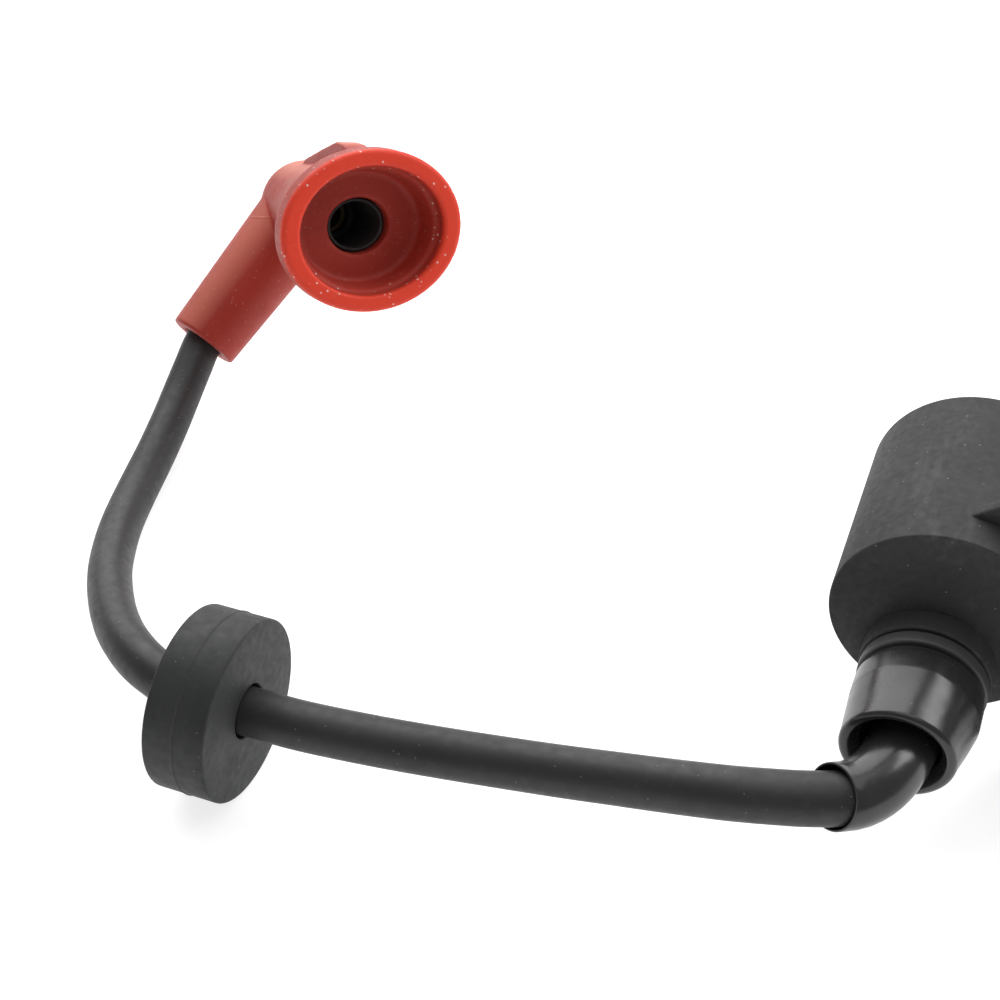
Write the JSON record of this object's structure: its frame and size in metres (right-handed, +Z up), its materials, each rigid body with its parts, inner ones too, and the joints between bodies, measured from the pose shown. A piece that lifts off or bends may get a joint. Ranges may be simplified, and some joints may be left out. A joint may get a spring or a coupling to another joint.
{
  "type": "ignition coil",
  "caption": "Potted ignition coil on a steel bracket, with a high-tension lead, a sliding round grommet and a right-angled red spark plug boot.",
  "frame": {"origin": "under the bracket's foot, midway between its two fixing holes", "axes": "+Z up from the surface the foot stands on, +Y along the coil's axis from the tower towards the blade terminals, +X from the coil towards the bracket's web"},
  "size_m": [0.1848, 0.1243, 0.0531],
  "materials": {
    "coil_plastic": "fine moulded grain, dusty black",
    "core_steel": "stacked sheets",
    "bobbin_plastic": "plain moulding",
    "copper": "enamelled copper wire",
    "potting_resin": "poured epoxy, slightly uneven",
    "terminal_brass": "plain brass",
    "seal_rubber": "matte black rubber",
    "boot_black": "glossy soft black",
    "zinc_steel": "zinc plated",
    "bracket_paint": "black passivated steel",
    "lead_rubber": "smooth black jacket with a satin sheen",
    "grommet_rubber": "matte black rubber with a mould seam",
    "boot_red": "matte red silicone, brighter at the worn rim"
  },
  "bodies": {
    "coil": {"coil_housing": "coil_plastic", "iron_core": "core_steel", "primary_bobbin": "bobbin_plastic", "primary_winding": "copper", "secondary_bobbin": "bobbin_plastic", "secondary_winding": "copper", "potting_compound": "potting_resin", "primary_terminal": "terminal_brass", "ground_terminal": "terminal_brass", "tower_terminal": "terminal_brass", "tower_seal_ring": "seal_rubber", "tower_boot": "boot_black", "ear_sleeve_upper": "zinc_steel", "ear_sleeve_lower": "zinc_steel", "bracket_rivet_upper": "zinc_steel", "bracket_rivet_lower": "zinc_steel", "mounting_bracket": "bracket_paint", "lead_elbow": "boot_black", "elbow_contact": "terminal_brass", "ht_lead": "lead_rubber", "lead_conductor": "copper"},
    "grommet": {"grommet": "grommet_rubber"},
    "plug_boot": {"plug_boot": "boot_red", "boot_insulator": "coil_plastic", "plug_terminal": "terminal_brass", "terminal_spring": "zinc_steel"}
  },
  "joints": [
    {"name": "grommet_slide", "type": "slide", "parent": "coil", "child": "grommet", "axis": [0.9988, 0.0488, 0], "range_m": [0, 0.008]},
    {"name": "boot_swivel", "type": "hinge", "parent": "coil", "child": "plug_boot", "pos_m": [-0.1666, 0.0169, 0.012], "axis": [0.287, 0.809, 0.513], "range_deg": [-40, 40]}
  ]
}
